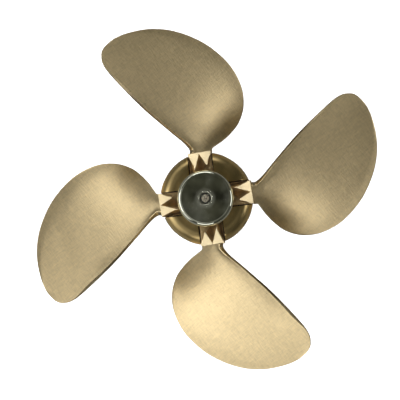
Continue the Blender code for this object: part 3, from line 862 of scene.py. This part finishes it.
def in_slot(place, normal):
    """Whether a face of the hub is a wall, a broken edge or the floor of a blade slot."""
    place = place.copy()
    normal = normal.copy()
    turn = Matrix.Rotation(math.radians(90), 3, "Z")
    for _ in range(BLADE_COUNT):
        across = place.x - ROOT_SHIFT
        if place.y > CAVITY_RADIUS / 2 and place.z > SLOT_FLOOR - 0.1:
            if abs(across) < SLOT_HALF_WIDTH + 0.7 and normal.x * across < -0.25 * abs(across):
                return True
            if abs(across) < SLOT_HALF_WIDTH + 0.1 and place.z < RING_TOP - SHOULDER_RADIUS:
                return True
        place = turn @ place
        normal = turn @ normal
    return False


def bore_cutter(number):
    """Stepped bore for the pin of one blade and the plug that closes it."""
    blind = -PIN_BLIND_END - FIT_GAP
    pin = PIN_RADIUS + FIT_GAP
    plug = PIN_PLUG_RADIUS + FIT_GAP
    made = turned(f"pin_bore_{number}", [(0, blind), (pin, blind), (pin, PIN_OPEN_END), (plug, PIN_OPEN_END),
                                         (plug, HUB_RADIUS), (0, HUB_RADIUS)], 48, closed=False)
    lay_along_x(made, PIN_Y, PIN_Z)
    made.data.transform(Matrix.Rotation(-2 * math.pi * (number - 1) / BLADE_COUNT, 4, "Z"))
    return made


class PROPELLER_OT_hub(bpy.types.Operator):
    """Makes the hub with its blade slots, pin bores and shaft taper"""
    bl_idname = "propeller.hub"
    bl_label = "Hub"

    def execute(self, context):
        settings = context.scene.propeller_hub
        shoulder = (HUB_RADIUS - SHOULDER_RADIUS, RING_TOP - RING_DROP - SHOULDER_RADIUS)
        ring = RING_TOP - RING_DROP
        profile = [(CAVITY_RADIUS, BOSS_TOP), (BOSS_RADIUS, BOSS_TOP), (BOSS_RADIUS, ring + RING_FALL)]
        profile += [(r, ring + RING_FALL * ((shoulder[0] - r) / (shoulder[0] - BOSS_RADIUS)) ** 2)
                    for r in np.linspace(BOSS_RADIUS, shoulder[0], 8)[1:-1]]
        profile += arc(shoulder, SHOULDER_RADIUS, 90, 0, 24)
        waist = [(HUB_RADIUS, PIN_Z - 26), (HUB_RADIUS - 2.5, PIN_Z - 45), (HUB_RADIUS - 7.0, PIN_Z - 65),
                 (HUB_NOSE_RADIUS + 1.5, 5.0)]
        profile += [tuple(p) for p in smooth_path(waist, 6)]
        profile += [(HUB_NOSE_RADIUS, 0.8), (HUB_NOSE_RADIUS - 0.8, 0.0), (TAPER_BIG_RADIUS + 0.8, 0.0),
                    (TAPER_BIG_RADIUS, 0.8), (TAPER_SMALL_RADIUS, TAPER_LENGTH), (POCKET_RADIUS, TAPER_LENGTH),
                    (POCKET_RADIUS, POCKET_TOP), (CAVITY_RADIUS, POCKET_TOP)]
        hub = turned("hub_turned", profile, settings.segments)
        cutters = []
        for number in range(1, BLADE_COUNT + 1):
            cutters += [slot_cutter(number), bore_cutter(number)]
        depth = TAPER_BIG_RADIUS + KEY_DEPTH
        cutters.append(prism("keyway", [(-KEY_HALF_WIDTH, 0), (KEY_HALF_WIDTH, 0), (KEY_HALF_WIDTH, depth),
                                        (-KEY_HALF_WIDTH, depth)], -5.0, TAPER_LENGTH + 2.0))
        for cutter in cutters:
            boolean(hub, cutter, "DIFFERENCE")
        cut = baked(hub, "hub_cut")
        remove(*cutters)
        merge_close(cut, 0.00003)
        bevel(cut, settings.edge_round, 2, 50)
        made = baked(cut, "hub_casting")
        smooth(made, 30)
        made.data.materials.clear()
        made.data.materials.append(hub_bronze(settings.colour))
        made.data.materials.append(relief_bronze_painted_shade("slot_bronze_painted_shade", settings.slot_painted_shade_colour))
        # Walls, floors and broken edges of the slots get the bronze darkened as painted shade
        for face in made.data.polygons:
            face.material_index = int(in_slot(face.center / MM, face.normal))
        finish_piece(made, None, "hub", "hub_bronze", "hub")
        return {"FINISHED"}


class PROPELLER_OT_end_cap(bpy.types.Operator):
    """Makes the polished end cap and the recessed screw that holds it"""
    bl_idname = "propeller.end_cap"
    bl_label = "End cap"

    def execute(self, context):
        settings = context.scene.propeller_cap
        rim = settings.rim_round / MM
        crown = settings.crown / MM
        outer = CAP_RADIUS + 0.8
        edge = outer - rim
        bottom = CAP_TOP - 11.0
        well = 7.4
        floor = CAP_TOP - 4.5
        face = [(well + 0.9, CAP_TOP - crown * ((well + 0.9) / edge) ** 2)]
        face += [(r, CAP_TOP - crown * (r / edge) ** 2) for r in np.linspace(well + 3, edge - 1, 10)]
        profile = [(well, floor), (well, CAP_TOP - 0.9)] + arc((well + 0.9, CAP_TOP - 0.9), 0.85, 160, 100, 4)
        profile += face
        profile += arc((edge, CAP_TOP - crown - rim), rim, 88, 0, 20)
        profile += [(outer, bottom + 0.8), (outer - 0.2, bottom + 0.25), (outer - 0.8, bottom),
                    (20.7, bottom), (20.7, bottom - 2.6), (20.3, bottom - 3.0), (3.5, bottom - 3.0), (3.1, bottom - 2.6),
                    (3.1, floor)]
        made = turned("polished_end_cap", profile, settings.segments)
        smooth(made, 32)
        finish_piece(made, cap_steel(settings.colour), "hub", "polished_steel", "end_cap")

        head_top = SCREW_HIGH.z / MM
        head = 4.6
        shank = [(0, SCREW_LOW.z / MM), (2.0, SCREW_LOW.z / MM), (2.5, SCREW_LOW.z / MM + 0.6), (2.5, head_top - 3.4)]
        profile = shank + [(head, head_top - 3.4)] + arc((head - 0.8, head_top - 0.8), 0.8, 0, 90, 6)
        profile += [(2.7, head_top), (0, head_top)]
        screw = turned("screw_turned", profile, 64, closed=False)
        socket = hull("hex_socket", [
            (r * math.cos(math.radians(60 * k + 20)), r * math.sin(math.radians(60 * k + 20)), z)
            for k in range(6) for r, z in ((1.9, head_top - 2.2), (1.9, head_top - 0.35), (2.4, head_top + 0.2))])
        boolean(screw, socket, "DIFFERENCE")
        made = baked(screw, "recessed_cap_screw")
        remove(socket)
        smooth(made, 32)
        bronze = Finish("screw_bronze", (0.58, 0.52, 0.4), 0.32, metallic=0.8)
        film = bronze.noise(bronze.mapped((260, 260, 260), 0.4), detail=3.0)
        bronze.shade(bronze.ramp(film, 0.5, 1.4, 0.35, 0.65))
        bronze.rough(bronze.ramp(film, 0.25, 0.42))
        finish_piece(made, bronze.material, "hub", "screw_bronze", "cap_screw")
        return {"FINISHED"}


class PROPELLER_OT_pins(bpy.types.Operator):
    """Makes the hinge pins, the blade bushes and the flush plugs over the pins"""
    bl_idname = "propeller.pins"
    bl_label = "Pins and plugs"

    def execute(self, context):
        steel = polished_steel("ground_pin_steel", (0.16, 0.145, 0.12), 0.3, 0.45)
        polymer = bush_polymer()
        bronze = bpy.data.materials["polished_hub_bronze"]
        low = -PIN_BLIND_END
        pin = turned("pin_pattern", [(0, low), (PIN_RADIUS - 0.8, low), (PIN_RADIUS, low + 0.8),
                                     (PIN_RADIUS, PIN_OPEN_END - 0.8), (PIN_RADIUS - 0.8, PIN_OPEN_END),
                                     (0, PIN_OPEN_END)], 64, closed=False)
        lay_along_x(pin, PIN_Y, PIN_Z)
        inner = PIN_RADIUS + FIT_GAP
        end = BUSH_HALF_LENGTH
        bush = turned("bush_pattern", [(inner, -end + 0.4), (inner + 0.4, -end), (BUSH_RADIUS - 0.4, -end),
                                       (BUSH_RADIUS, -end + 0.4), (BUSH_RADIUS, end - 0.4),
                                       (BUSH_RADIUS - 0.4, end), (inner + 0.4, end), (inner, end - 0.4)], 64)
        lay_along_x(bush, PIN_Y, PIN_Z)
        bush.data.transform(Matrix.Translation((ROOT_SHIFT * MM, 0, 0)))
        plug = turned("plug_pattern", [(0, PIN_OPEN_END + FIT_GAP), (PIN_PLUG_RADIUS, PIN_OPEN_END + FIT_GAP),
                                       (PIN_PLUG_RADIUS, HUB_RADIUS), (0, HUB_RADIUS)], 64, closed=False)
        lay_along_x(plug, PIN_Y, PIN_Z)
        rim = turned("plug_rim", [(0, PIN_Z + 20), (HUB_RADIUS - 0.35, PIN_Z + 20), (HUB_RADIUS - 0.35, PIN_Z - 20),
                                  (0, PIN_Z - 20)], 256, closed=False)
        first = PIN_OPEN_END + 3.5
        socket = hull("plug_socket", [(x, PIN_Y + PLUG_SOCKET_RADIUS * math.cos(math.radians(60 * k)),
                                       PIN_Z + PLUG_SOCKET_RADIUS * math.sin(math.radians(60 * k)))
                                      for k in range(6) for x in (first, HUB_RADIUS + 5)])
        boolean(plug, rim, "INTERSECT")
        boolean(plug, socket, "DIFFERENCE")
        flush = baked(plug, "flush_pattern")
        remove(rim, socket)
        for number in range(1, BLADE_COUNT + 1):
            made = put_around(pin, f"turned_hinge_pin_{number}", number, steel)
            smooth(made, 32)
            finish_piece(made, None, "hub", "pin_steel", f"hinge_pin_{number}")
            made = put_around(bush, f"blade_eye_bush_{number}", number, polymer)
            smooth(made, 32)
            finish_piece(made, None, f"blade_{number}", "bush_polymer", f"pin_bush_{number}")
            made = put_around(flush, f"flush_pin_plug_{number}", number, bronze)
            smooth(made, 32)
            finish_piece(made, None, "hub", "screw_bronze", f"pin_plug_{number}")
        remove(pin, bush, flush)
        return {"FINISHED"}


class PROPELLER_OT_shaft_fittings(bpy.types.Operator):
    """Makes the shaft nut, its washer and the plug that locks them"""
    bl_idname = "propeller.shaft_fittings"
    bl_label = "Shaft fittings"

    def execute(self, context):
        bronze = bpy.data.materials["polished_hub_bronze"]
        steel = polished_steel("washer_steel", (0.62, 0.62, 0.60), 0.25, 0.38)
        low = NUT_LOW.z / MM
        high = NUT_HIGH.z / MM
        corner = 40.0 / 2 / math.cos(math.radians(30))
        nut = turned("nut_turned", [(12.0, low + 1.4), (12.9, low), (corner - 2.6, low), (corner + 0.2, low + 1.5),
                                    (corner + 0.2, high - 1.5), (corner - 2.6, high), (12.9, high),
                                    (12.0, high - 1.4)], 96)
        flats = prism("nut_flats", [(corner * math.cos(math.radians(60 * k)), corner * math.sin(math.radians(60 * k)))
                                    for k in range(6)], low - 1, high + 1)
        boolean(nut, flats, "INTERSECT")
        made = baked(nut, "shaft_end_nut")
        remove(flats)
        merge_close(made, 0.00002)
        smooth(made, 28)
        finish_piece(made, bronze, "hub", "hub_bronze", "shaft_nut")

        low = WASHER_LOW.z / MM
        high = WASHER_HIGH.z / MM
        outer = WASHER_HIGH.x / MM
        made = turned("shaft_washer", [(12.3, low + 0.2), (12.5, low), (outer - 0.4, low), (outer, low + 0.4),
                                       (outer, high - 0.2), (outer - 0.2, high), (12.5, high), (12.3, high - 0.2)], 96)
        smooth(made, 32)
        finish_piece(made, steel, "hub", "washer_steel", "tab_washer")

        low = PLUG_LOW.z / MM
        high = PLUG_HIGH.z / MM
        outer = PLUG_HIGH.x / MM
        flange = 68.0
        hole_end = CAP_TOP - 4.5 - 22.0 - 3
        profile = [(0, hole_end), (2.8, hole_end), (2.8, high), (5.2, high), (5.6, high - 0.4)]
        profile += arc((8.6, flange + 3), 3.0, 180, 270, 8)
        profile += [(outer - 0.5, flange), (outer, flange - 0.5), (outer, low + 0.5), (outer - 0.5, low), (0, low)]
        made = turned("locking_plug", profile, 96, closed=False)
        smooth(made, 32)
        finish_piece(made, bronze, "hub", "hub_bronze", "lock_plug")
        return {"FINISHED"}


# Soft boxes round the propeller: name, picture angle and height of the middle, half angles across and up,
# all in degrees, brightness, and the pieces that get its light
SOFT_BOXES = [
    ("right_box", 1, 26, 16, 8, 1.55, "all"),
    ("top_box", 100, 26, 18, 9, 1.2, "all"),
    ("top_veil", 103, 20, 27, 16, 0.37, "all"),
    ("left_box", 188, 31, 18, 12, 1.05, "all"),
    ("left_veil", 198, 29, 31, 22, 0.58, "all"),
    ("bottom_box", 268, 29, 16, 9, 1.5, "all"),
    ("upper_left_fill", 147, 48, 22, 20, 0.59, "blades"),
    ("lower_left_fill", 235, 48, 18, 18, 0.55, "blades"),
    ("upper_right_fill", 50, 42, 28, 24, 0.27, "blades"),
    ("lower_right_fill", 322, 40, 26, 22, 0.27, "blades"),
    ("high_left_fill", 190, 62, 22, 12, 0.38, "blades"),
    ("low_left_fill", 220, 3, 16, 9, 0.68, "blades"),
    ("low_top_fill", 130, 5, 16, 10, 0.68, "blades"),
    ("neck_left_veil", 178, -8, 20, 12, 0.37, "blades"),
    ("neck_top_veil", 88, -8, 20, 12, 0.2, "blades"),
    ("neck_right_veil", 34, 3, 12, 9, 0.28, "blades"),
    ("neck_bottom_veil", 304, 2, 12, 9, 0.36, "blades"),
    ("hub_upper_left_veil", 146, 24, 18, 14, 0.3, "hub"),
    ("hub_low_left_veil", 205, -22, 42, 16, 0.12, "hub"),
    ("hub_high_left_veil", 205, 66, 24, 13, 0.14, "hub"),
    ("hub_high_low_veil", 285, 68, 24, 12, 0.08, "hub"),
]
BOX_DISTANCE = 1.6
BACKDROP_RADIUS = 4000.0
OVERHEAD_SIZE = 1.0
OVERHEAD_BRIGHTNESS = 21.0
# Room tones that the metal mirrors, by the sine of the height
ROOM = [(-0.3, (0.17, 0.165, 0.15, 1)), (-0.12, (0.15, 0.147, 0.133, 1)), (-0.03, (0.045, 0.045, 0.039, 1)),
        (0.7, (0.04, 0.04, 0.033, 1)), (0.9, (0.05, 0.05, 0.038, 1)), (1.0, (0.034, 0.034, 0.026, 1))]


class PROPELLER_OT_stage(bpy.types.Operator):
    """Makes the floor, the soft boxes, the studio world and the camera"""
    bl_idname = "propeller.stage"
    bl_label = "Stage"

    def execute(self, context):
        settings = context.scene.propeller_stage
        scene = context.scene
        right = Vector((math.cos(settings.roll), -math.sin(settings.roll), 0))
        up = Vector((math.sin(settings.roll), math.cos(settings.roll), 0))
        middle = Vector((0, 0, PIN_Z * MM))

        bm = bmesh.new()
        bmesh.ops.create_circle(bm, cap_ends=True, segments=96, radius=BACKDROP_RADIUS * MM)
        floor = new_object("studio_floor", bm)
        backdrop = turned("studio_backdrop", arc((0, 0), BACKDROP_RADIUS, 0, 90, 24), 96, closed=False)
        white = bpy.data.materials.new("studio_white")
        white.use_nodes = True
        shader = white.node_tree.nodes["Principled BSDF"]
        shader.inputs["Base Color"].default_value = (0.8, 0.8, 0.8, 1)
        shader.inputs["Roughness"].default_value = 0.9
        shader.inputs["Emission Color"].default_value = (1, 1, 1, 1)
        shader.inputs["Emission Strength"].default_value = 0.95
        for obj in (floor, backdrop):
            obj.data.materials.append(white)
            obj.visible_glossy = False
            obj.visible_diffuse = False
            obj.visible_shadow = False

        groups = {"blades": [f"propeller_blade_{number}" for number in range(1, BLADE_COUNT + 1)],
                  "hub": ["hub_casting", "polished_end_cap"]}
        for group, names in groups.items():
            collection = bpy.data.collections.new(group + "_only")
            for name in names:
                collection.objects.link(bpy.data.objects[name])
            groups[group] = collection
        for name, angle, height, across, tall, brightness, receivers in SOFT_BOXES:
            light = bpy.data.lights.new(name, "AREA")
            light.shape = "RECTANGLE"
            light.size = 2 * BOX_DISTANCE * math.tan(math.radians(across))
            light.size_y = 2 * BOX_DISTANCE * math.tan(math.radians(tall))
            light.energy = brightness * math.pi * light.size * light.size_y
            box = bpy.data.objects.new(name, light)
            scene.collection.objects.link(box)
            flat = right * math.cos(math.radians(angle)) + up * math.sin(math.radians(angle))
            out = flat * math.cos(math.radians(height)) + Vector((0, 0, math.sin(math.radians(height))))
            box.location = middle + out * BOX_DISTANCE
            level = Vector((0, 0, 1)).cross(out).normalized()
            box.rotation_mode = "QUATERNION"
            box.rotation_quaternion = Matrix((level, out.cross(level), out)).transposed().to_quaternion()
            box.visible_camera = False
            if receivers in groups:
                box.light_linking.receiver_collection = groups[receivers]
        light = bpy.data.lights.new("overhead_light", "AREA")
        light.shape = "DISK"
        light.size = OVERHEAD_SIZE
        light.energy = OVERHEAD_BRIGHTNESS * math.pi * math.pi * (OVERHEAD_SIZE / 2) ** 2
        overhead = bpy.data.objects.new("overhead_light", light)
        scene.collection.objects.link(overhead)
        overhead.location = middle + Vector((0, 0, 2.2))
        overhead.visible_camera = False
        overhead.visible_glossy = False

        world = bpy.data.worlds.new("studio_room")
        world.use_nodes = True
        scene.world = world
        nodes = world.node_tree.nodes
        links = world.node_tree.links
        direction = nodes.new("ShaderNodeTexCoord")
        split = nodes.new("ShaderNodeSeparateXYZ")
        height = nodes.new("ShaderNodeMapRange")
        height.inputs["From Min"].default_value = ROOM[0][0]
        ramp = nodes.new("ShaderNodeValToRGB")
        links.new(direction.outputs["Generated"], split.inputs[0])
        links.new(split.outputs["Z"], height.inputs["Value"])
        links.new(height.outputs["Result"], ramp.inputs["Fac"])
        clouds = nodes.new("ShaderNodeTexNoise")
        clouds.inputs["Scale"].default_value = 16.0
        clouds.inputs["Detail"].default_value = 2.0
        depth = nodes.new("ShaderNodeMapRange")
        for socket, number in (("From Min", 0.3), ("From Max", 0.7), ("To Min", 0.45), ("To Max", 1.5)):
            depth.inputs[socket].default_value = number
        cloudy = nodes.new("ShaderNodeVectorMath")
        cloudy.operation = "SCALE"
        links.new(direction.outputs["Generated"], clouds.inputs["Vector"])
        links.new(clouds.outputs["Fac"], depth.inputs["Value"])
        links.new(ramp.outputs["Color"], cloudy.inputs[0])
        links.new(depth.outputs["Result"], cloudy.inputs["Scale"])
        links.new(cloudy.outputs[0], nodes["Background"].inputs["Color"])
        tones = ramp.color_ramp.elements
        tones[0].color = ROOM[0][1]
        tones[1].color = ROOM[-1][1]
        for place, tone in ROOM[1:-1]:
            tones.new((place - ROOM[0][0]) / (ROOM[-1][0] - ROOM[0][0])).color = tone

        lens = bpy.data.cameras.new("studio_camera")
        lens.sensor_width = 36
        lens.lens = 36 * settings.distance / settings.width
        camera = bpy.data.objects.new("studio_camera", lens)
        scene.collection.objects.link(camera)
        camera.location = middle + settings.distance * (Vector((0, 0, 1)) + 0.040 * right - 0.014 * up)
        pixel = settings.width / 400
        aim = middle - right * 6.7 * pixel - up * 1.2 * pixel
        back = (camera.location - aim).normalized()
        side = up.cross(back).normalized()
        tall = back.cross(side)
        camera.rotation_mode = "QUATERNION"
        camera.rotation_quaternion = Matrix((side, tall, back)).transposed().to_quaternion()
        scene.camera = camera
        scene.view_settings.view_transform = "Standard"
        scene.view_settings.look = "None"
        return {"FINISHED"}


STEPS = ("blades", "hub", "end_cap", "pins", "shaft_fittings", "stage")


class PROPELLER_PT_panel(bpy.types.Panel):
    """Lists the settings and the steps of the propeller"""
    bl_idname = "PROPELLER_PT_panel"
    bl_label = "Folding propeller"
    bl_space_type = "VIEW_3D"
    bl_region_type = "UI"
    bl_category = "Propeller"

    def draw(self, context):
        layout = self.layout
        for group in ("propeller_blades", "propeller_hub", "propeller_cap", "propeller_stage"):
            settings = getattr(context.scene, group)
            for name in settings.__annotations__:
                layout.prop(settings, name)
        for step in STEPS:
            layout.operator(f"propeller.{step}")


CLASSES = (BladeSettings, HubSettings, CapSettings, StageSettings, PROPELLER_OT_blades, PROPELLER_OT_hub,
           PROPELLER_OT_end_cap, PROPELLER_OT_pins, PROPELLER_OT_shaft_fittings, PROPELLER_OT_stage,
           PROPELLER_PT_panel)


def register():
    for cls in CLASSES:
        bpy.utils.register_class(cls)
    bpy.types.Scene.propeller_blades = PointerProperty(type=BladeSettings)
    bpy.types.Scene.propeller_hub = PointerProperty(type=HubSettings)
    bpy.types.Scene.propeller_cap = PointerProperty(type=CapSettings)
    bpy.types.Scene.propeller_stage = PointerProperty(type=StageSettings)


def unregister():
    for name in ("propeller_blades", "propeller_hub", "propeller_cap", "propeller_stage"):
        delattr(bpy.types.Scene, name)
    for cls in reversed(CLASSES):
        bpy.utils.unregister_class(cls)


def main():
    register()
    for step in STEPS:
        getattr(bpy.ops.propeller, step)()
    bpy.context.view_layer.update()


if __name__ == "__main__":
    main()
